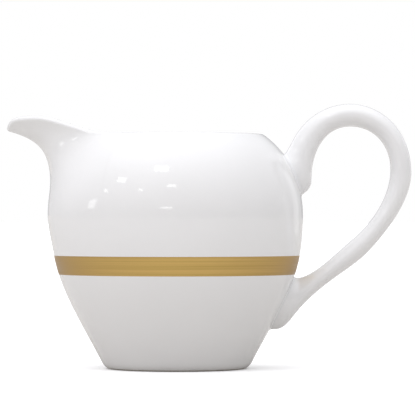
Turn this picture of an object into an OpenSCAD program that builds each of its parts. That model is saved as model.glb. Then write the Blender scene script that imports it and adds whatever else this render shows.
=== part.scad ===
// Porcelain cream jug with a beak cast in one with the body, a cast loop handle
// luted on with slip, a fired gold band and a foot ring with a bare, ground land.
// Origin: centre of the foot ring on the table. +Z up, beak towards -X, handle towards +X.

/* [Body] */
// Radius of the belly at its widest
belly_r = 40; // [39.5:0.1:40.5]
// Height of the widest place
belly_z = 48; // [47:0.5:49]
// Radius of the wall where it stands on the foot ring
base_r = 23.85; // [23.4:0.05:24.2]
// Radius of the outer edge of the round rim
rim_r = 27.6; // [27:0.1:28.2]
// Height of the outer edge of the round rim
rim_z = 74.1; // [73.5:0.1:75]
// Thickness of the cast wall
wall_t = 2.6; // [2.2:0.1:3]
// Thickness of the rounded lip on the round rim
lip_t = 2.4; // [2:0.1:2.6]
// Thickness of the floor
floor_t = 3; // [2.5:0.1:4]

/* [Beak] */
// How far the nose of the beak stands out from the jug's axis
beak_reach = 53.2; // [52:0.2:54]
// Half angle of the sector of the belly that the beak grows out of
beak_angle = 55; // [50:1:60]
// Half breadth of the control polygon at the nose
nose_half = 6.2; // [5:0.1:7]
// Length of the tangent that draws the round rim out into the beak
draw_out = 20; // [18:0.5:22]
// Rise of the beak's lips above the round rim
lips_rise = 4.5; // [3:0.1:5]
// Drop of the lip at the nose, which cuts the drip
nose_drop = 3.4; // [2:0.1:4]
// How soon the lip climbs away from the nose, as a share of the beak's plan
nose_breadth = 0.14; // [0.1:0.01:0.2]
// How far the keel swells past the round belly
keel_swell = 1; // [0:0.1:1.5]
// Thickness of the lip at the nose
beak_lip_t = 2.1; // [1.8:0.1:2.4]

/* [Handle] */
// Width across the loop
handle_w = 9; // [8:0.25:10]
// Width across the two ends where they spread on the wall
root_w = 12.5; // [11:0.25:13]
// Reach of the slip fillet at the upper end
upper_slip_r = 1.2; // [0.8:0.1:1.4]
// Reach of the slip fillet at the lower end
lower_slip_r = 0.8; // [0.5:0.1:1]

/* [Gold band] */
// Height of the band's lower edge
band_z = 29.9; // [29.8:0.1:31]
// Height of the band
band_h = 6; // [4:0.25:7]
// Thickness of the gold, drawn stouter than fired gold
band_t = 0.12; // [0.1:0.02:0.2]

/* [Foot ring] */
// Height of the foot ring
foot_h = 2.2; // [1.8:0.1:2.6]
// Outer radius of the flat that stands on the table
land_outer_r = 20.9; // [20.5:0.1:21.4]
// Inner radius of that flat
land_inner_r = 19.2; // [18.6:0.1:19.8]
// Radius of the hollow under the jug at its top
hollow_r = 18.4; // [17.8:0.1:18.5]

/* [Hidden] */
$fn = 96;

// Columns round the body, and rings on each stretch of its wall
body_columns = 84;
lower_rings = 12;
upper_rings = 18;
lining_lower_rings = 8;
lining_upper_rings = 12;
lip_rings = 5;
cove_rings = 4;
corner_steps = 6;
// Extra closeness of the columns at the beak, in degrees
column_crowding = 13;
// Ease that keeps the columns evenly spaced where the beak leaves the round rim
beak_ease = 0.55;
// Where on the lower wall the inner cove starts, from 0 at the foot to 1 at the belly
cove_start = 0.16;
// How far the cove runs in towards the middle of the floor
cove_run = 6;
// Steps up and round the wall, in degrees, that give its slope
slope_step = 0.02;
turn_step = 1;
// Halvings that find where two lines meet
halvings = 24;
// Height at which the keel swells most, and how far the swell runs above and below it
swell_z = 49;
swell_run = 12.5;
floor_z = foot_h + floor_t;

// Wall profiles as [radius, height], from foot to belly and from belly to round rim
lower_wall = [[base_r, foot_h], [34.3, 21.7], [belly_r, 29.7], [belly_r, belly_z]];
// Rise of the second control point over the belly, at the round wall and at the keel
round_rise = 11.2;
keel_rise = 17.3;
// Third control point: radius and height on the round wall, reach and height under the nose
shoulder_r = 35.5;
shoulder_z = 68.4;
throat_reach = 39.4;
throat_z = 71.4;
// Half breadth of the throat's control polygon at the keel and at its side
throat_half = 4;
throat_side = [-36.5, 5.5];
upper_wall = [
    [belly_r, belly_z], [belly_r, belly_z + round_rise],
    [shoulder_r, shoulder_z], [rim_r, rim_z]
];
// The lips start to rise and are at full height at these places along the beak's plan
rise_start = 0.85;
rise_end = 0.4;

// Outline of the handle's loop as two chains of curves in the XZ plane, root to root
outer_line = [
    [33.5, 66.6], [34.3, 68], [35.5, 70], [36.7, 72.3],
    [39.8, 78.6], [46.4, 84], [55, 84],
    [64.6, 84], [74.4, 76], [74.4, 62],
    [74.4, 50.5], [60.2, 36.4], [59, 35.4],
    [53, 30.2], [43.5, 25.6], [36.2, 15.6],
    [33.2, 12.3], [32.6, 12.3], [28, 12.5]
];
inner_line = [
    [38.6, 54.6], [41.3, 56], [42.7, 57.2], [42.7, 60],
    [42.7, 68.8], [46.9, 76.8], [55, 76.8],
    [62.9, 76.8], [67.8, 70.6], [67.8, 63],
    [67.8, 55.4], [62.8, 46.6], [55, 40.4],
    [50.4, 36.4], [44.8, 30.6], [39.8, 29],
    [38.8, 28.7], [37.6, 28.8], [35.8, 29.1]
];
handle_end = 6;
handle_rings = 54;
handle_sides = 32;
// Shrunken rings that lay the handle's end caps on the wall
cap_scales = [0.35, 0.7];
// Heights at which the band follows the wall, and its bed on the glaze
band_steps = 4;
band_bed = 0.02;
// Lengths of loop, counted in curves, over which the ends spread
upper_spread = 1.6;
lower_spread = 1.4;
// Step along the loop that gives its direction at a joint, and steps across a slip fillet
joint_step = 0.05;
fillet_steps = 4;

porcelain = "white";
slip_white = "whitesmoke";
biscuit = "linen";
satin_gold = "darkgoldenrod";

// Smooth step from 0 to 1
function ease(x) = let (s = min(1, max(0, x))) s * s * (3 - 2 * s);

function mix(a, b, s) = a + (b - a) * s;

function unit(v) = v / norm(v);

// Point at t on one cubic curve
function bez(p, t) =
    pow(1 - t, 3) * p[0] + 3 * pow(1 - t, 2) * t * p[1] + 3 * (1 - t) * t * t * p[2] + pow(t, 3) * p[3];

// Point at t on a curve with one control point between its ends
function quad(a, b, c, t) = pow(1 - t, 2) * a + 2 * (1 - t) * t * b + t * t * c;

// Middle of a ring of points
function middle(ring) = [for (p = ring) 1 / len(ring)] * ring;

// Point at u on a chain of cubic curves that share their ends
function chain(p, u) =
    let (last = (len(p) - 1) / 3 - 1)
    let (k = min(floor(u), last))
    bez([for (i = [0:3]) p[3 * k + i]], u - k);

// Parameter at which a rising profile reaches height z, by halving
function at_height(p, z, lo = 0, hi = 1, turns = halvings) =
    let (mid = (lo + hi) / 2)
    let (below = bez(p, mid)[1] < z)
    turns == 0 ? mid : at_height(p, z, below ? mid : lo, below ? hi : mid, turns - 1);

// Radius of the round wall at height z
function wall_r(z) =
    let (profile = z < belly_z ? lower_wall : upper_wall)
    bez(profile, at_height(profile, z))[0];

// Plan of the rim from the nose to where it joins the circle, on the +Y side
rim_join = rim_r * [-cos(beak_angle), sin(beak_angle)];
beak_plan = [
    [-beak_reach, 0],
    [-beak_reach, nose_half],
    rim_join + draw_out * [-sin(beak_angle), -cos(beak_angle)],
    rim_join
];
throat_plan = [
    [-throat_reach, 0],
    [-throat_reach, throat_half],
    throat_side,
    shoulder_r * [-cos(beak_angle), sin(beak_angle)]
];

// Place along the beak's plan for an angle from the nose: 0 at the nose, 1 on the circle
function beak_t(angle) = let (s = min(1, abs(angle) / beak_angle)) s * (1 + beak_ease * (1 - s));

// 1 at the keel, 0 where the beak joins the round wall
function keel_share(angle) = (1 + cos(180 * beak_t(angle))) / 2;

// Outer edge of the rim at an angle from the nose
function rim_point(angle) =
    let (t = beak_t(angle))
    let (side = angle < 0 ? -1 : 1)
    let (plan = t < 1 ? bez(beak_plan, t) : rim_r * [-cos(angle), side * sin(angle)])
    let (rise = lips_rise * ease((rise_start - t) / (rise_start - rise_end)))
    let (drop = nose_drop * pow(1 + pow(t / nose_breadth, 2), -1.5))
    [plan[0], side * plan[1], rim_z + rise - drop];

// Shoulder under the rim, or throat under the beak, that the wall leans towards
function shoulder_point(angle) =
    let (t = beak_t(angle))
    let (side = angle < 0 ? -1 : 1)
    let (plan = t < 1 ? bez(throat_plan, t) : shoulder_r * [-cos(angle), side * sin(angle)])
    [plan[0], side * plan[1], mix(shoulder_z, throat_z, keel_share(angle))];

// Point on the outside of the body: v is 0 at the foot, 1 at the belly and 2 at the rim
function skin(angle, v) =
    let (out = [-cos(angle), sin(angle), 0])
    let (share = keel_share(angle))
    v < 1 ? lower_skin(out, share, v) : upper_skin(angle, out, share, v - 1);

function lower_skin(out, share, t) =
    let (p = bez(lower_wall, t))
    out * (p[0] + swell(share, p[1])) + [0, 0, p[1]];

function upper_skin(angle, out, share, t) =
    let (belly = out * belly_r + [0, 0, belly_z])
    let (over_belly = belly + [0, 0, mix(round_rise, keel_rise, share)])
    let (p = bez([belly, over_belly, shoulder_point(angle), rim_point(angle)], t))
    p + out * swell(share, p[2]);

// Swell of the keel past the round belly at height z
function swell(share, z) = keel_swell * share * pow(cos(90 * min(1, abs(z - swell_z) / swell_run)), 2);

// Upward direction along the wall, and the direction that faces out of it
function wall_up(angle, v) =
    let (top = min(2, v + slope_step))
    unit(skin(angle, top) - skin(angle, top - slope_step));

function wall_out(angle, v) =
    let (across = skin(angle + turn_step, v) - skin(angle - turn_step, v))
    unit(cross(wall_up(angle, v), across));

function lip_thickness(angle) = mix(lip_t, beak_lip_t, keel_share(angle));

function wall_thickness(angle, v) = mix(wall_t, lip_thickness(angle), ease(v - 1));

// Point on the inside of the body
function lining(angle, v) = skin(angle, v) - wall_thickness(angle, v) * wall_out(angle, v);

// Half round of the lip: q is 0 on the outside and 1 on the inside
function lip(angle, q) =
    let (half = lip_thickness(angle) / 2)
    let (out = wall_out(angle, 2))
    skin(angle, 2) - half * out + half * (cos(180 * q) * out + sin(180 * q) * wall_up(angle, 2));

// Cove between the inner wall and the floor: q is 0 on the wall and 1 on the floor
function cove(angle, q) =
    let (top = lining(angle, cove_start))
    let (fall = wall_up(angle, cove_start))
    let (corner = top - fall * (top[2] - floor_z) / fall[2])
    let (foot = corner - cove_run * [-cos(angle), sin(angle), 0])
    quad(top, corner, foot, q);

function column_angle(k) =
    let (turn = 360 * k / body_columns)
    let (angle = turn - column_crowding * sin(turn))
    angle > 180 ? angle - 360 : angle;

function body_ring(place) = [for (k = [0:body_columns - 1]) place(column_angle(k))];

// Half width of the handle's oval section at u along the loop
function half_width(u) =
    let (upper = pow(max(0, 1 - u / upper_spread), 2))
    let (lower = pow(max(0, 1 - (handle_end - u) / lower_spread), 2))
    handle_w / 2 + (root_w - handle_w) / 2 * (upper + lower);

function section_middle(u) = let (m = (chain(outer_line, u) + chain(inner_line, u)) / 2) [m[0], 0, m[1]];

// Point on the handle: u along the loop, turn round its section, 0 on the outer line
function loop_point(u, turn) =
    let (half = (chain(outer_line, u) - chain(inner_line, u)) / 2 * cos(turn))
    section_middle(u) + [half[0], half_width(u) * sin(turn), half[1]];

// Distance of a point in front of the round wall
function clear_of_wall(p) = norm([p[0], p[1]]) - wall_r(p[2]);

// Place at which a line along the handle meets the wall, by halving between inside and outside
function landing(turn, inside, outside, turns = halvings) =
    let (mid = (inside + outside) / 2)
    turns == 0 ? mid : clear_of_wall(loop_point(mid, turn)) < 0 ?
        landing(turn, mid, outside, turns - 1) : landing(turn, inside, mid, turns - 1);

function upper_landing(turn) = landing(turn, 0, 1);

function lower_landing(turn) = landing(turn, handle_end, handle_end - 1);

// The point of the round wall level with p and behind it
function on_wall(p) = let (flat = unit([p[0], p[1]]) * wall_r(p[2])) [flat[0], flat[1], p[2]];

function side_turn(k) = 360 * k / handle_sides;

// Contact line of one end of the handle, drawn in towards its middle and laid on the wall
function cap_ring(line, share) =
    [for (p = line) on_wall(mix(middle(line), p, share))];

// Cross-section of a slip fillet between the handle and the wall at one contact point
function fillet_section(at, towards, turn, reach) =
    let (contact = loop_point(at, turn))
    let (on_handle = contact + reach * unit(loop_point(at + towards, turn) - contact))
    let (edge = on_wall(contact + reach * unit(contact - section_middle(at))))
    let (hollow = [for (k = [0:fillet_steps]) quad(on_handle, contact, edge, k / fillet_steps)])
    concat(hollow, [contact]);

// Closed solid through rings of points: capped at both ends, or joined into a hoop
module loft(rings, hoop = false) {
    sides = len(rings[0]);
    count = len(rings);
    points = [for (ring = rings) each ring];
    ends = hoop ? [] : [middle(rings[0]), middle(rings[count - 1])];
    skin_faces = [
        for (r = [0:count - (hoop ? 1 : 2)], k = [0:sides - 1])
            let (a = r * sides, b = (r + 1) % count * sides, next = (k + 1) % sides)
            each [[a + k, a + next, b + next], [a + k, b + next, b + k]]
    ];
    first = count * sides;
    cap_faces = hoop ? [] : [
        for (k = [0:sides - 1])
            let (next = (k + 1) % sides, top = (count - 1) * sides)
            each [[first, next, k], [first + 1, top + k, top + next]]
    ];
    polyhedron(points = concat(points, ends), faces = concat(skin_faces, cap_faces));
}

// Slip-cast shell: wall, floor, rounded lip and beak in one
module body() {
    lower_v = [for (k = [0:lower_rings - 1]) k / lower_rings];
    upper_v = [for (k = [0:upper_rings]) 1 + k / upper_rings];
    outside_v = concat(lower_v, upper_v);
    lower_lining_v = [for (k = [0:lining_lower_rings - 1]) k / lining_lower_rings];
    upper_lining_v = [for (k = [0:lining_upper_rings - 1]) 1 + k / lining_upper_rings];
    inside_v = [for (v = concat(lower_lining_v, upper_lining_v)) if (v > cove_start) v];
    rings = concat(
        [for (v = outside_v) body_ring(function(angle) skin(angle, v))],
        [for (k = [1:lip_rings]) body_ring(function(angle) lip(angle, k / (lip_rings + 1)))],
        [for (k = [len(inside_v) - 1:-1:0]) body_ring(function(angle) lining(angle, inside_v[k]))],
        [for (k = [0:cove_rings]) body_ring(function(angle) cove(angle, k / cove_rings))]
    );
    color(porcelain) loft(rings);
}

// Loop handle, cast apart and trimmed to the wall at both ends
module handle() {
    starts = [for (k = [0:handle_sides - 1]) upper_landing(side_turn(k))];
    stops = [for (k = [0:handle_sides - 1]) lower_landing(side_turn(k))];
    loop = [
        for (r = [0:handle_rings])
            let (share = r / handle_rings)
            [for (k = [0:handle_sides - 1]) loop_point(mix(starts[k], stops[k], share), side_turn(k))]
    ];
    upper_cap = [for (share = cap_scales) cap_ring(loop[0], share)];
    lower_cap = [for (share = cap_scales) cap_ring(loop[handle_rings], share)];
    color(porcelain) loft(concat(upper_cap, loop, [lower_cap[1], lower_cap[0]]));
}

// Collar of slip that lutes the handle's upper end to the shoulder
module upper_slip_joint() {
    turns = [for (k = [0:handle_sides - 1]) side_turn(k)];
    collar = [for (t = turns) fillet_section(upper_landing(t), joint_step, t, upper_slip_r)];
    color(slip_white) loft(collar, hoop = true);
}

// Collar of slip that lutes the handle's lower end to the wall under the band
module lower_slip_joint() {
    turns = [for (k = [handle_sides - 1:-1:0]) side_turn(k)];
    collar = [for (t = turns) fillet_section(lower_landing(t), -joint_step, t, lower_slip_r)];
    color(slip_white) loft(collar, hoop = true);
}

// Fired gold, a thin hoop lying on the glaze
module gold_band() {
    heights = [for (k = [0:band_steps]) band_z + band_h * k / band_steps];
    inside = [for (z = heights) [wall_r(z) + band_bed, z]];
    outside = [for (k = [band_steps:-1:0]) [wall_r(heights[k]) + band_bed + band_t, heights[k]]];
    section = concat(outside, inside);
    angles = [for (k = [0:body_columns - 1]) column_angle(k)];
    color(satin_gold)
        loft([for (a = angles) [for (p = section) [-p[0] * cos(a), p[0] * sin(a), p[1]]]], hoop = true);
}

// Foot ring of the casting, its land bare and ground flat after firing
module foot_ring() {
    slope = (lower_wall[1] - lower_wall[0])[0] / (lower_wall[1] - lower_wall[0])[1];
    corner = [base_r - slope * foot_h, 0];
    land_edge = [land_outer_r, 0];
    rounding = [for (k = [0:corner_steps]) quad(land_edge, corner, lower_wall[0], k / corner_steps)];
    color(biscuit) rotate_extrude() polygon(concat([[land_inner_r, 0]], rounding, [[hollow_r, foot_h]]));
}

body();
handle();
upper_slip_joint();
lower_slip_joint();
gold_band();
foot_ring();
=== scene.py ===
"""Porcelain cream jug: slip-cast body and beak, a loop handle luted on, a fired gold band and a bare foot.

Shapes are worked out in millimetres in the jug's own frame and laid down in metres: origin at the centre of the
foot ring on the table, +Z up, beak towards -X, handle towards +X.
"""
import math

import bpy
import numpy as np
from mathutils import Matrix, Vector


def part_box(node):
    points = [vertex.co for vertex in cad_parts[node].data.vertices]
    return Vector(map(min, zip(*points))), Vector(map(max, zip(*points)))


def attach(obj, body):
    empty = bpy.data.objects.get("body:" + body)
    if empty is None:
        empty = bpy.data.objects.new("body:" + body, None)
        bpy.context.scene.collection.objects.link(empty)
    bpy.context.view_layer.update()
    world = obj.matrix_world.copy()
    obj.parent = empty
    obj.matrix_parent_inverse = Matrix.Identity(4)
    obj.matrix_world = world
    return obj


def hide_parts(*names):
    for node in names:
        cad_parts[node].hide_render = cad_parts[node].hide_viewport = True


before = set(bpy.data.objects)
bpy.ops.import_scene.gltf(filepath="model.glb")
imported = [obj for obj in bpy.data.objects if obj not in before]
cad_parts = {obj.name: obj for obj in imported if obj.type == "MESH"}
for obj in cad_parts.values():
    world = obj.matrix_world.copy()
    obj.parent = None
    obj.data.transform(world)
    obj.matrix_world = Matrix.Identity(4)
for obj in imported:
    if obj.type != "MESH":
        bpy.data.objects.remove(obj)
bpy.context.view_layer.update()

# ---- Camera -------------------------------------------------------------------------------------------------
# A long lens at the height of the gold band, square to the plane that beak and handle lie in, so the rim is
# seen almost edge-on and the two ends of the jug are in clean profile.

camera_distance = 0.9525
camera_height = 0.0476
view_centre = (0.0097, 0.0, 0.0511)
view_width = 0.1318
sensor_width = 36.0

camera_data = bpy.data.cameras.new("camera")
camera_data.sensor_width = sensor_width
camera_data.lens = sensor_width * camera_distance / view_width
camera = bpy.data.objects.new("camera", camera_data)
camera.location = (view_centre[0], -camera_distance, camera_height)
tilt = math.atan2(view_centre[2] - camera_height, camera_distance)
camera.rotation_euler = (math.pi / 2 + tilt, 0.0, 0.0)
bpy.context.scene.collection.objects.link(camera)
bpy.context.scene.camera = camera

# ---- Slip-cast body -----------------------------------------------------------------------------------------
# One porcelain shell cast in a plaster mould: wall, floor, rounded lip and beak. The wall is a ring of upright
# curves. Each runs from the foot to the belly, then on to a rim that is a circle drawn out into the beak.

low, high = (np.array(corner) * 1000.0 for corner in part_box("body"))
belly_r = high[1]
belly_z = 48.0
foot_h = low[2]
base_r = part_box("foot_ring")[1][0] * 1000.0
rim_r = 27.6
rim_z = 74.1
wall_t = 2.6
lip_t = 2.4
floor_z = foot_h + 3.0

beak_reach = 53.2
beak_angle = math.radians(55.0)
nose_half = 6.2
draw_out = 20.0
lips_rise = 4.5
nose_drop, nose_breadth = 3.4, 0.14
keel_swell = 1.0
beak_lip_t = 2.1
beak_ease = 0.55
rise_start, rise_end = 0.85, 0.4
swell_z, swell_run = 49.0, 12.5

round_rise, keel_rise = 11.2, 17.3
shoulder_r, shoulder_z = 35.5, 68.4
throat_reach, throat_z, throat_half = 39.4, 71.4, 4.0

body_columns, column_crowding = 320, 0.22
cove_start, cove_run = 0.16, 6.0
lower_rows, upper_rows = 70, 90
inner_lower_rows, inner_upper_rows = 36, 70
corner_rows, floor_rows = 16, 10
pinhole = 0.02
crease = math.radians(50.0)


def ease(x):
    """Smooth step: 0 up to x = 0, 1 from x = 1, three x squared less two x cubed between."""
    s = np.clip(x, 0.0, 1.0)
    return s * s * (3.0 - 2.0 * s)


def cubic(points, t):
    """Cubic curve: each of the four control points weighted by its Bernstein polynomial in t."""
    t = np.asarray(t)[..., None]
    a, b, c, d = points
    return (1 - t) ** 3 * a + 3 * (1 - t) ** 2 * t * b + 3 * (1 - t) * t**2 * c + t**3 * d


def unit(v):
    """Each vector divided by its own length."""
    return v / np.linalg.norm(v, axis=-1, keepdims=True)


def radial(angle):
    """Level direction out of the jug at an angle from the beak."""
    return np.stack([-np.cos(angle), np.sin(angle), np.zeros_like(angle)], axis=-1)


lower_wall = np.array([[base_r, foot_h], [34.3, 21.7], [belly_r, 29.7], [belly_r, belly_z]])
upper_wall = np.array(
    [[belly_r, belly_z], [belly_r, belly_z + round_rise], [shoulder_r, shoulder_z], [rim_r, rim_z]]
)
join = np.array([-math.cos(beak_angle), math.sin(beak_angle)])
along_join = np.array([-math.sin(beak_angle), -math.cos(beak_angle)])
beak_plan = np.array(
    [[-beak_reach, 0], [-beak_reach, nose_half], rim_r * join + draw_out * along_join, rim_r * join]
)
throat_plan = np.array([[-throat_reach, 0], [-throat_reach, throat_half], [-36.5, 5.5], shoulder_r * join])


def beak_place(angle):
    """How far from the nose, 0, to the circle, 1: the angle's share of the sector, eased."""
    s = np.minimum(1.0, np.abs(angle) / beak_angle)
    return s * (1.0 + beak_ease * (1.0 - s))


def keel_share(angle):
    """1 at the keel and 0 where the beak joins the round wall, along half a cosine wave."""
    return (1.0 + np.cos(math.pi * beak_place(angle))) / 2.0


def drawn_circle(angle, plan, radius):
    """Level curve: the plan curve over the beak's sector and a circle elsewhere, mirrored in the keel."""
    t = beak_place(angle)
    side = np.where(angle < 0, -1.0, 1.0)
    drawn = cubic(plan, t)
    circle = radius * np.stack([-np.cos(angle), side * np.sin(angle)], axis=-1)
    level = np.where((t < 1.0)[..., None], drawn, circle)
    return level[..., 0], side * level[..., 1]


def rim_edge(angle):
    """Outer edge of the rim: the drawn circle, raised along the lips, less a bell-shaped drop at the nose."""
    t = beak_place(angle)
    x, y = drawn_circle(angle, beak_plan, rim_r)
    rise = lips_rise * ease((rise_start - t) / (rise_start - rise_end))
    drop = nose_drop * (1.0 + (t / nose_breadth) ** 2) ** -1.5
    return np.stack([x, y, rim_z + rise - drop], axis=-1)


def shoulder(angle):
    """Shoulder under the rim and throat under the beak, which the wall leans towards on its way to the rim."""
    x, y = drawn_circle(angle, throat_plan, shoulder_r)
    share = keel_share(angle)
    return np.stack([x, y, shoulder_z + (throat_z - shoulder_z) * share], axis=-1)


def outside(angle, v):
    """Outside of the wall: one cubic from the foot, v = 0, to the belly, v = 1, and another to the rim, v = 2.

    The keel swells past the belly by a cosine squared of the height.
    """
    angle, v = np.broadcast_arrays(np.asarray(angle, float), np.asarray(v, float))
    out, share = radial(angle), keel_share(angle)
    lower = cubic(lower_wall, np.clip(v, 0, 1))
    below = out * lower[..., :1]
    below[..., 2] = lower[..., 1]
    belly = out * belly_r
    belly[..., 2] = belly_z
    over_belly = belly.copy()
    over_belly[..., 2] += round_rise + (keel_rise - round_rise) * share
    above = cubic([belly, over_belly, shoulder(angle), rim_edge(angle)], np.clip(v - 1, 0, 1))
    wall = np.where((v < 1)[..., None], below, above)
    off_middle = np.clip(np.abs(wall[..., 2] - swell_z) / swell_run, 0, 1)
    swell = keel_swell * share * np.cos(math.pi / 2 * off_middle) ** 2
    return wall + out * swell[..., None]


def wall_up(angle, v, step=0.01):
    """Direction up the wall, from two points a small step apart."""
    top = np.minimum(2.0, v + step)
    return unit(outside(angle, top) - outside(angle, top - step))


def wall_out(angle, v, step=math.radians(0.5)):
    """Direction out of the wall: up the wall crossed with round the wall."""
    return unit(np.cross(wall_up(angle, v), outside(angle + step, v) - outside(angle - step, v)))


def lip_thickness(angle):
    """Thickness of the lip: thinner at the beak, in step with the keel's share."""
    return lip_t + (beak_lip_t - lip_t) * keel_share(angle)


def inside(angle, v):
    """Inside of the wall: the outside moved in by a thickness that eases from wall to lip."""
    thickness = wall_t + (lip_thickness(angle) - wall_t) * ease(v - 1.0)
    return outside(angle, v) - thickness[..., None] * wall_out(angle, v)


def lip(angle, q):
    """Half round over the lip, q from 0 outside to 1 inside, in the plane of wall up and wall out."""
    top = np.full_like(angle, 2.0)
    half = (lip_thickness(angle) / 2.0)[..., None]
    out, up = wall_out(angle, top), wall_up(angle, top)
    turn = math.pi * np.asarray(q)[..., None]
    return outside(angle, top) - half * out + half * (np.cos(turn) * out + np.sin(turn) * up)


def cove(angle, q):
    """Cove from inner wall, q = 0, to floor, q = 1: a quadratic pulled towards their corner."""
    start = np.full_like(angle, cove_start)
    top, fall = inside(angle, start), wall_up(angle, start)
    corner = top - fall * ((top[..., 2] - floor_z) / fall[..., 2])[..., None]
    foot = corner - cove_run * radial(angle)
    q = np.asarray(q)[..., None]
    return (1 - q) ** 2 * top + 2 * (1 - q) * q * corner + q**2 * foot


def turned_mesh(name, rings, capped=True):
    """Mesh through rings of points in millimetres: quads between neighbours, a fan to each end ring's middle.

    Without caps, the last ring joins the first and the piece is a hoop.
    """
    count, sides = rings.shape[:2]
    index = np.arange(count * sides).reshape(count, sides)
    here = index[:-1] if capped else index
    over = index[1:] if capped else np.roll(index, -1, axis=0)
    beside, across = np.roll(here, -1, axis=1), np.roll(over, -1, axis=1)
    faces = np.stack([here, over, across, beside], axis=-1).reshape(-1, 4).tolist()
    points = rings.reshape(-1, 3)
    if capped:
        points = np.vstack([points, rings[0].mean(axis=0), rings[-1].mean(axis=0)])
        first, last = index[0], index[-1]
        faces += np.stack([np.full(sides, count * sides), first, np.roll(first, -1)], axis=-1).tolist()
        faces += np.stack([np.full(sides, count * sides + 1), np.roll(last, -1), last], axis=-1).tolist()
    mesh = bpy.data.meshes.new(name)
    mesh.from_pydata((points / 1000.0).tolist(), [], faces)
    mesh.validate()
    mesh.polygons.foreach_set("use_smooth", np.ones(len(mesh.polygons), dtype=bool))
    mesh.set_sharp_from_angle(angle=crease)
    piece = bpy.data.objects.new(name, mesh)
    bpy.context.scene.collection.objects.link(piece)
    return piece


turn = 2 * math.pi * np.arange(body_columns) / body_columns
turn = np.where(turn > math.pi, turn - 2 * math.pi, turn)
column = (turn - column_crowding * np.sin(turn))[None, :]
lower_v, upper_v = np.linspace(0, 1, lower_rows, endpoint=False), 1 + np.linspace(0, 1, upper_rows)
rise_v = np.concatenate([lower_v, upper_v])[:, None]
lower_v = np.linspace(cove_start, 1, inner_lower_rows, endpoint=False)
upper_v = 1 + np.linspace(0, 1, inner_upper_rows)
fall_v = np.concatenate([lower_v, upper_v])[1:-1][::-1, None]
lip_q = np.linspace(0, 1, corner_rows)[1:, None]
cove_q = np.linspace(0, 1, corner_rows)[:, None]
floor_share = np.linspace(1, pinhole, floor_rows)[1:, None, None]

cove_rings = cove(*np.broadcast_arrays(column, cove_q))
floor_centre = np.array([0.0, 0.0, floor_z])
inner_floor = floor_centre + floor_share * (cove_rings[-1:] - floor_centre)
wall_rings = outside(*np.broadcast_arrays(column, rise_v))
under_share = np.linspace(pinhole, 1, floor_rows, endpoint=False)[:, None, None]
under_centre = np.array([0.0, 0.0, foot_h])
under_rings = under_centre + under_share * (wall_rings[:1] - under_centre)
body = turned_mesh(
    "jug_body",
    np.concatenate(
        [
            under_rings,
            wall_rings,
            lip(*np.broadcast_arrays(column, lip_q)),
            inside(*np.broadcast_arrays(column, fall_v)),
            cove_rings,
            inner_floor,
        ]
    ),
)


def porcelain(name, tint, wave):
    """White porcelain under clear glaze: faint drifts of tone, a slow wave and a fine peel."""
    material = bpy.data.materials.new(name)
    material.use_nodes = True
    nodes, links = material.node_tree.nodes, material.node_tree.links
    surface = nodes["Principled BSDF"]
    surface.inputs["Roughness"].default_value = 0.07
    surface.inputs["IOR"].default_value = 1.5
    surface.inputs["Coat Weight"].default_value = 0.35
    surface.inputs["Coat Roughness"].default_value = 0.03
    place = nodes.new("ShaderNodeTexCoord")
    drift = nodes.new("ShaderNodeTexNoise")
    drift.inputs["Scale"].default_value = 38.0
    drift.inputs["Detail"].default_value = 2.0
    tone = nodes.new("ShaderNodeValToRGB")
    tone.color_ramp.elements[0].position = 0.3
    tone.color_ramp.elements[0].color = (*(c * 0.985 for c in tint), 1.0)
    tone.color_ramp.elements[1].position = 0.7
    tone.color_ramp.elements[1].color = (*tint, 1.0)
    links.new(place.outputs["Object"], drift.inputs["Vector"])
    links.new(drift.outputs["Fac"], tone.inputs["Fac"])
    links.new(tone.outputs["Color"], surface.inputs["Base Color"])
    slow = nodes.new("ShaderNodeTexNoise")
    slow.inputs["Scale"].default_value = 55.0
    slow.inputs["Detail"].default_value = 1.0
    fine = nodes.new("ShaderNodeTexNoise")
    fine.inputs["Scale"].default_value = 900.0
    fine.inputs["Detail"].default_value = 2.0
    links.new(place.outputs["Object"], slow.inputs["Vector"])
    links.new(place.outputs["Object"], fine.inputs["Vector"])
    peel = nodes.new("ShaderNodeBump")
    peel.inputs["Strength"].default_value = 0.02
    peel.inputs["Distance"].default_value = 0.0002
    links.new(fine.outputs["Fac"], peel.inputs["Height"])
    swell = nodes.new("ShaderNodeBump")
    swell.inputs["Strength"].default_value = wave
    swell.inputs["Distance"].default_value = 0.002
    links.new(slow.outputs["Fac"], swell.inputs["Height"])
    links.new(peel.outputs["Normal"], swell.inputs["Normal"])
    links.new(swell.outputs["Normal"], surface.inputs["Normal"])
    return material


glazed_porcelain = porcelain("glazed_porcelain", (0.86, 0.86, 0.865), wave=0.05)
body.data.materials.append(glazed_porcelain)
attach(body, "root")
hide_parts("body")

# ---- Loop handle --------------------------------------------------------------------------------------------
# Cast apart in a two-part mould and trimmed to the wall. An oval section runs between an outer and an inner
# line, seven millimetres thick at the top and spreading to a blunt pad at each end.

outer_line = np.array(
    [
        [33.5, 66.6], [34.3, 68], [35.5, 70], [36.7, 72.3],
        [39.8, 78.6], [46.4, 84], [55, 84],
        [64.6, 84], [74.4, 76], [74.4, 62],
        [74.4, 50.5], [60.2, 36.4], [59, 35.4],
        [53, 30.2], [43.5, 25.6], [36.2, 15.6],
        [33.2, 12.3], [32.6, 12.3], [28, 12.5],
    ]
)
inner_line = np.array(
    [
        [38.6, 54.6], [41.3, 56], [42.7, 57.2], [42.7, 60],
        [42.7, 68.8], [46.9, 76.8], [55, 76.8],
        [62.9, 76.8], [67.8, 70.6], [67.8, 63],
        [67.8, 55.4], [62.8, 46.6], [55, 40.4],
        [50.4, 36.4], [44.8, 30.6], [39.8, 29],
        [38.8, 28.7], [37.6, 28.8], [35.8, 29.1],
    ]
)
handle_w, root_w = 9.0, 12.5
handle_end = 6.0
upper_spread, lower_spread = 1.6, 1.4
handle_rings, handle_sides = 220, 96

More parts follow.
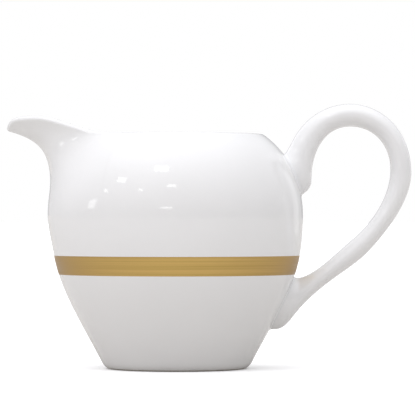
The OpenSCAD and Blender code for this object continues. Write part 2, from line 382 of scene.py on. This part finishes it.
profile_steps, halvings = 2000, 40
cap_shares = (0.3, 0.6, 0.85)

profile_t = np.linspace(0, 1, profile_steps)
profile = np.concatenate([cubic(lower_wall, profile_t), cubic(upper_wall, profile_t)[1:]])


def wall_r(z):
    """Radius of the round wall at a height, read off the finely stepped profile."""
    return np.interp(z, profile[:, 1], profile[:, 0])


def chain(points, u):
    """Point at u on a chain of cubics that share their ends: the whole part of u picks the cubic."""
    k = np.minimum(np.floor(u), (len(points) - 1) // 3 - 1).astype(int)
    return cubic([points[3 * k + i] for i in range(4)], u - k)


def half_width(u):
    """Half of the handle's width: even along the loop, spreading with a square law towards both ends."""
    spread = np.clip(1 - u / upper_spread, 0, 1) ** 2 + np.clip(1 - (handle_end - u) / lower_spread, 0, 1) ** 2
    return handle_w / 2 + (root_w - handle_w) / 2 * spread


def section_middle(u):
    """Middle of the section: halfway between the outer and the inner line."""
    m = (chain(outer_line, u) + chain(inner_line, u)) / 2
    return np.stack([m[..., 0], np.zeros_like(m[..., 0]), m[..., 1]], axis=-1)


def loop_point(u, turn):
    """Oval section at u: cosine of the turn towards the outer line, sine of the turn across."""
    half = (chain(outer_line, u) - chain(inner_line, u)) / 2 * np.cos(turn)[..., None]
    return section_middle(u) + np.stack([half[..., 0], half_width(u) * np.sin(turn), half[..., 1]], axis=-1)


def landing(turn, sunk, free):
    """Place where each line of the loop meets the wall, by halving between sunk and free."""
    sunk, free = np.full_like(turn, sunk), np.full_like(turn, free)
    for _ in range(halvings):
        mid = (sunk + free) / 2
        p = loop_point(mid, turn)
        under = np.hypot(p[..., 0], p[..., 1]) < wall_r(p[..., 2])
        sunk, free = np.where(under, mid, sunk), np.where(under, free, mid)
    return mid


def on_wall(p):
    """The point of the round wall level with p and behind it."""
    level = p.copy()
    level[..., 2] = 0.0
    flat = unit(level) * wall_r(p[..., 2])[..., None]
    flat[..., 2] = p[..., 2]
    return flat


def cap_ring(line, share):
    """Contact line drawn in towards its middle and laid on the wall."""
    middle = line.mean(axis=0)
    return on_wall(middle + share * (line - middle))


side_turn = 2 * math.pi * np.arange(handle_sides) / handle_sides
starts, stops = landing(side_turn, 0.0, 1.0), landing(side_turn, handle_end, handle_end - 1.0)
along = np.linspace(0, 1, handle_rings)[:, None]
loop = loop_point(*np.broadcast_arrays(starts + (stops - starts) * along, side_turn[None, :]))
handle = turned_mesh(
    "loop_handle",
    np.concatenate(
        [
            np.stack([cap_ring(loop[0], share) for share in cap_shares]),
            loop,
            np.stack([cap_ring(loop[-1], share) for share in cap_shares[::-1]]),
        ]
    ),
)
handle.data.materials.append(glazed_porcelain)
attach(handle, "root")
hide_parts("handle")

# ---- Slip joints --------------------------------------------------------------------------------------------
# Liquid clay lutes each end of the handle to the wall before the glaze goes on. It is sponged to a small hollow
# fillet all round the end, and the glaze pools in it a shade deeper.

upper_slip_reach, lower_slip_reach = 1.2, 0.8
fillet_steps = 10
along_step = 0.05
sunk_depth = 0.25


def fillet_rings(at, towards, turn, reach):
    """Fillet sections round one end: a quadratic from handle to wall, pulled towards the contact.

    The foot of the section is sunk in both bodies, so only the hollow face shows.
    """
    contact = loop_point(at, turn)
    up_handle = unit(loop_point(at + towards, turn) - contact)
    off_middle = unit(contact - section_middle(at))
    on_handle = contact + reach * up_handle
    edge = on_wall(contact + reach * off_middle)
    q = np.linspace(0, 1, fillet_steps)[:, None, None]
    hollow = (1 - q) ** 2 * on_handle + 2 * (1 - q) * q * contact + q**2 * edge
    sunk = contact - sunk_depth * (off_middle + radial(np.full(len(turn), math.pi)))
    return np.concatenate([hollow, sunk[None]]).transpose(1, 0, 2)


upper_rings = fillet_rings(starts, along_step, side_turn, upper_slip_reach)
lower_rings = fillet_rings(stops, -along_step, side_turn, lower_slip_reach)[::-1]
upper_slip = turned_mesh("upper_slip", upper_rings, capped=False)
lower_slip = turned_mesh("lower_slip", lower_rings, capped=False)
glazed_slip = porcelain("glazed_slip", (0.84, 0.845, 0.855), wave=0.08)
for joint, node in ((upper_slip, "upper_slip_joint"), (lower_slip, "lower_slip_joint")):
    joint.data.materials.append(glazed_slip)
    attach(joint, "root")
    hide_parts(node)

# ---- Gold band ----------------------------------------------------------------------------------------------
# Liquid gold laid on the glaze with a flat brush on the wheel, fired and burnished with sand to a satin sheen.
# The brush leaves fine lines that run round the jug. A painted shade darkens the gold to brown towards its
# sides, where it turns from the viewer.

band_low, band_high = (corner[2] * 1000.0 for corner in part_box("gold_band"))
gold_t = 0.06
band_columns, band_rows = 320, 14
edge_power = 16

band_turn = 2 * math.pi * np.arange(band_columns) / band_columns
band_v = np.linspace(0, 1, band_rows)
band_z = band_low + (band_high - band_low) * band_v
edge_round = np.sqrt(1 - (2 * band_v - 1) ** edge_power)
face_r = wall_r(band_z) + gold_t * edge_round
back_r = wall_r(band_z) - gold_t
section_r = np.concatenate([face_r[::-1], back_r])
section_z = np.concatenate([band_z[::-1], band_z])
section_out = radial(band_turn)[:, None, :] * section_r[None, :, None]
section_out[..., 2] = section_z
band = turned_mesh("gold_line", section_out, capped=False)

gold = bpy.data.materials.new("fired_gold")
gold.use_nodes = True
nodes, links = gold.node_tree.nodes, gold.node_tree.links
surface = nodes["Principled BSDF"]
surface.inputs["Metallic"].default_value = 1.0
place = nodes.new("ShaderNodeTexCoord")
round_jug = nodes.new("ShaderNodeMapping")
round_jug.inputs["Scale"].default_value = (14.0, 14.0, 2600.0)
brush = nodes.new("ShaderNodeTexNoise")
brush.inputs["Scale"].default_value = 1.0
brush.inputs["Detail"].default_value = 3.0
links.new(place.outputs["Object"], round_jug.inputs["Vector"])
links.new(round_jug.outputs["Vector"], brush.inputs["Vector"])
tone = nodes.new("ShaderNodeValToRGB")
tone.color_ramp.elements[0].position = 0.3
tone.color_ramp.elements[0].color = (0.57, 0.39, 0.125, 1.0)
tone.color_ramp.elements[1].position = 0.7
tone.color_ramp.elements[1].color = (0.73, 0.505, 0.18, 1.0)
links.new(brush.outputs["Fac"], tone.inputs["Fac"])
# Painted shade: the gold's colour is mixed towards a dark brown as the band turns away from the viewer, so it
# reads darker towards its sides.
slant = nodes.new("ShaderNodeLayerWeight")
slant.inputs["Blend"].default_value = 0.5
painted_slant_shade = nodes.new("ShaderNodeMix")
painted_slant_shade.data_type = "RGBA"
painted_slant_shade.inputs["B"].default_value = (0.38, 0.25, 0.12, 1.0)
links.new(slant.outputs["Facing"], painted_slant_shade.inputs["Factor"])
links.new(tone.outputs["Color"], painted_slant_shade.inputs["A"])
links.new(painted_slant_shade.outputs["Result"], surface.inputs["Base Color"])
satin = nodes.new("ShaderNodeMapRange")
satin.inputs["From Min"].default_value = 0.3
satin.inputs["From Max"].default_value = 0.7
satin.inputs["To Min"].default_value = 0.34
satin.inputs["To Max"].default_value = 0.46
links.new(brush.outputs["Fac"], satin.inputs["Value"])
links.new(satin.outputs["Result"], surface.inputs["Roughness"])
strokes = nodes.new("ShaderNodeBump")
strokes.inputs["Strength"].default_value = 0.25
strokes.inputs["Distance"].default_value = 0.00004
links.new(brush.outputs["Fac"], strokes.inputs["Height"])
links.new(strokes.outputs["Normal"], surface.inputs["Normal"])
band.data.materials.append(gold)
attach(band, "root")
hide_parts("gold_band")

# ---- Foot ring ----------------------------------------------------------------------------------------------
# The bottom edge of the casting. Glaze runs down its outer flank and ends in a fine roll just above the table.
# The land and the inner flank are wiped clean for the kiln shelf and ground flat: bare, matt and warmer.

land_outer_r, land_inner_r, hollow_r = 20.9, 19.2, 18.4
ring_columns, corner_steps, flank_steps = 240, 60, 10
glaze_end, roll_half, roll_t = 0.45, 0.12, 0.05

wall_slope = (lower_wall[1] - lower_wall[0])[0] / (lower_wall[1] - lower_wall[0])[1]
corner_q = np.linspace(0, 1, corner_steps)
outer_r = (
    (1 - corner_q) ** 2 * land_outer_r
    + 2 * (1 - corner_q) * corner_q * (base_r - wall_slope * foot_h)
    + corner_q**2 * base_r
)
outer_z = corner_q**2 * foot_h
outer_r = outer_r + roll_t * np.exp(-(((outer_z - glaze_end) / roll_half) ** 2))
inner_a = np.radians(np.linspace(90, 0, flank_steps))
inner_r = land_inner_r - (land_inner_r - hollow_r) * np.sin(inner_a)
inner_z = foot_h * (1 - np.cos(inner_a))
ring_r = np.concatenate([inner_r, outer_r])[::-1]
ring_z = np.concatenate([inner_z, outer_z])[::-1]
ring_turn = 2 * math.pi * np.arange(ring_columns) / ring_columns
ring_points = radial(ring_turn)[:, None, :] * ring_r[None, :, None]
ring_points[..., 2] = ring_z
foot = turned_mesh("bare_foot", ring_points, capped=False)

biscuit = bpy.data.materials.new("bare_biscuit")
biscuit.use_nodes = True
nodes, links = biscuit.node_tree.nodes, biscuit.node_tree.links
surface = nodes["Principled BSDF"]
surface.inputs["Roughness"].default_value = 0.85
place = nodes.new("ShaderNodeTexCoord")
grain = nodes.new("ShaderNodeTexNoise")
grain.inputs["Scale"].default_value = 1600.0
grain.inputs["Detail"].default_value = 4.0
stain = nodes.new("ShaderNodeTexNoise")
stain.inputs["Scale"].default_value = 90.0
links.new(place.outputs["Object"], grain.inputs["Vector"])
links.new(place.outputs["Object"], stain.inputs["Vector"])
both = nodes.new("ShaderNodeMix")
both.inputs["Factor"].default_value = 0.4
links.new(grain.outputs["Fac"], both.inputs["A"])
links.new(stain.outputs["Fac"], both.inputs["B"])
tone = nodes.new("ShaderNodeValToRGB")
tone.color_ramp.elements[0].position = 0.35
tone.color_ramp.elements[0].color = (0.64, 0.6, 0.54, 1.0)
tone.color_ramp.elements[1].position = 0.65
tone.color_ramp.elements[1].color = (0.79, 0.76, 0.71, 1.0)
links.new(both.outputs["Result"], tone.inputs["Fac"])
links.new(tone.outputs["Color"], surface.inputs["Base Color"])
tooth = nodes.new("ShaderNodeBump")
tooth.inputs["Strength"].default_value = 0.4
tooth.inputs["Distance"].default_value = 0.00008
links.new(grain.outputs["Fac"], tooth.inputs["Height"])
links.new(tooth.outputs["Normal"], surface.inputs["Normal"])
foot.data.materials.append(biscuit)
foot.data.materials.append(glazed_porcelain)
edge_r, edge_z = (np.roll(line, -1) + line for line in (ring_r / 2, ring_z / 2))
glazed_edge = ((edge_z > glaze_end) & (edge_r > land_outer_r)).astype(np.int32)
foot.data.polygons.foreach_set("material_index", np.tile(glazed_edge, ring_columns))
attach(foot, "root")
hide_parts("foot_ring")

# ---- Table and light ----------------------------------------------------------------------------------------
# A plain white table in a white studio: a broad bright ceiling, soft walls to the left and right and a dimmer
# room towards the viewer. Small lamps leave sparks on the glaze, and a tall window stands behind on the right.

table_mesh = bpy.data.meshes.new("table")
reach = 30.0
corners = [(-reach, -reach, 0), (reach, -reach, 0), (reach, reach, 0), (-reach, reach, 0)]
table_mesh.from_pydata(corners, [], [(0, 1, 2, 3)])
table = bpy.data.objects.new("table", table_mesh)
bpy.context.scene.collection.objects.link(table)
table_white = bpy.data.materials.new("table_white")
table_white.use_nodes = True
nodes, links = table_white.node_tree.nodes, table_white.node_tree.links
surface = nodes["Principled BSDF"]
surface.inputs["Roughness"].default_value = 0.7
surface.inputs["Specular IOR Level"].default_value = 0.2
seen = nodes.new("ShaderNodeLightPath")
bleached = nodes.new("ShaderNodeMix")
bleached.data_type = "RGBA"
bleached.inputs["A"].default_value = (0.62, 0.6, 0.57, 1.0)
bleached.inputs["B"].default_value = (0.95, 0.95, 0.95, 1.0)
links.new(seen.outputs["Is Camera Ray"], bleached.inputs["Factor"])
links.new(bleached.outputs["Result"], surface.inputs["Base Color"])
surface.inputs["Emission Color"].default_value = (0.2, 0.2, 0.2, 1.0)
links.new(seen.outputs["Is Camera Ray"], surface.inputs["Emission Strength"])
table.data.materials.append(table_white)

world = bpy.data.worlds.new("studio")
bpy.context.scene.world = world
world.use_nodes = True
nodes, links = world.node_tree.nodes, world.node_tree.links
room = nodes["Background"]
direction = nodes.new("ShaderNodeTexCoord")


def soft_patch(round_deg, up_deg, reach_to, strength, tint):
    """Glow of one patch of the studio: strength times a smooth step of the cosine off the patch's middle."""
    about, up = math.radians(round_deg), math.radians(up_deg)
    off_middle = nodes.new("ShaderNodeVectorMath")
    off_middle.operation = "DOT_PRODUCT"
    towards = (math.sin(about) * math.cos(up), -math.cos(about) * math.cos(up), math.sin(up))
    off_middle.inputs[1].default_value = towards
    links.new(direction.outputs["Generated"], off_middle.inputs[0])
    fall = nodes.new("ShaderNodeMapRange")
    fall.interpolation_type = "SMOOTHSTEP"
    fall.inputs["From Min"].default_value = reach_to
    links.new(off_middle.outputs["Value"], fall.inputs["Value"])
    glow = nodes.new("ShaderNodeVectorMath")
    glow.operation = "SCALE"
    glow.inputs[0].default_value = [strength * part for part in tint]
    links.new(fall.outputs["Result"], glow.inputs["Scale"])
    return glow.outputs["Vector"]


patches = [
    # degrees round from the viewer, degrees up, cosine at which the patch ends, strength, tint
    (0.0, 90.0, 0.0, 0.72, (0.985, 0.985, 1.01)),
    (0.0, 90.0, 0.6, 0.54, (0.97, 0.985, 1.02)),
    (0.0, 50.0, 0.4, 0.41, (0.99, 0.98, 1.01)),
    (-75.0, 40.0, 0.4, 0.43, (0.99, 0.985, 1.02)),
    (75.0, 40.0, 0.4, 0.25, (0.98, 1.0, 1.03)),
    (180.0, 0.0, 0.3, 0.21, (1.0, 1.0, 1.02)),
    (-135.0, 5.0, 0.7, 0.46, (0.99, 0.99, 1.02)),
    (135.0, 5.0, 0.7, 0.36, (0.99, 0.99, 1.02)),
]
glow = nodes.new("ShaderNodeCombineXYZ")
for socket, value in zip(("X", "Y", "Z"), (0.11, 0.108, 0.106)):
    glow.inputs[socket].default_value = value
total = glow.outputs["Vector"]
for patch in patches:
    both = nodes.new("ShaderNodeVectorMath")
    links.new(total, both.inputs[0])
    links.new(soft_patch(*patch), both.inputs[1])
    total = both.outputs["Vector"]
links.new(total, room.inputs["Color"])
plain_white = nodes.new("ShaderNodeBackground")
plain_white.inputs["Color"].default_value = (1.0, 1.0, 1.0, 1.0)
seen = nodes.new("ShaderNodeLightPath")
either = nodes.new("ShaderNodeMixShader")
links.new(seen.outputs["Is Camera Ray"], either.inputs["Fac"])
links.new(room.outputs["Background"], either.inputs[1])
links.new(plain_white.outputs["Background"], either.inputs[2])
links.new(either.outputs["Shader"], nodes["World Output"].inputs["Surface"])

lamp_distance = 0.9
lamp_target = np.array([0.0, 0.0, 0.05])
lamps = {
    # name: degrees round from the viewer, degrees up, width and height in metres, watts
    "ceiling_lamp_near": (-18.0, 49.5, 0.17, 0.1, 0.28),
    "ceiling_lamp_left": (-57.0, 32.0, 0.13, 0.08, 0.1),
    "ceiling_lamp_far": (-70.0, 20.5, 0.08, 0.04, 0.032),
    "left_lamp": (-83.0, 10.5, 0.12, 0.11, 0.085),
    "faint_lamp": (-34.0, 24.0, 0.06, 0.03, 0.024),
    "slot_lamp": (-4.5, 29.5, 0.12, 0.035, 0.06),
    "low_slot_lamp": (-9.0, 8.0, 0.16, 0.03, 0.055),
    "tall_window": (139.0, 3.0, 0.2, 0.5, 0.1),
}
for name, (round_deg, up_deg, width, height, watts) in lamps.items():
    data = bpy.data.lights.new(name, "AREA")
    data.shape = "RECTANGLE"
    data.size, data.size_y = width, height
    data.energy = watts
    light = bpy.data.objects.new(name, data)
    about, up = math.radians(round_deg), math.radians(up_deg)
    away = np.array([math.sin(about) * math.cos(up), -math.cos(about) * math.cos(up), math.sin(up)])
    light.location = lamp_target + lamp_distance * away
    light.rotation_euler = (math.pi / 2 - up, 0.0, about)
    bpy.context.scene.collection.objects.link(light)

bpy.context.scene.view_settings.view_transform = "Standard"
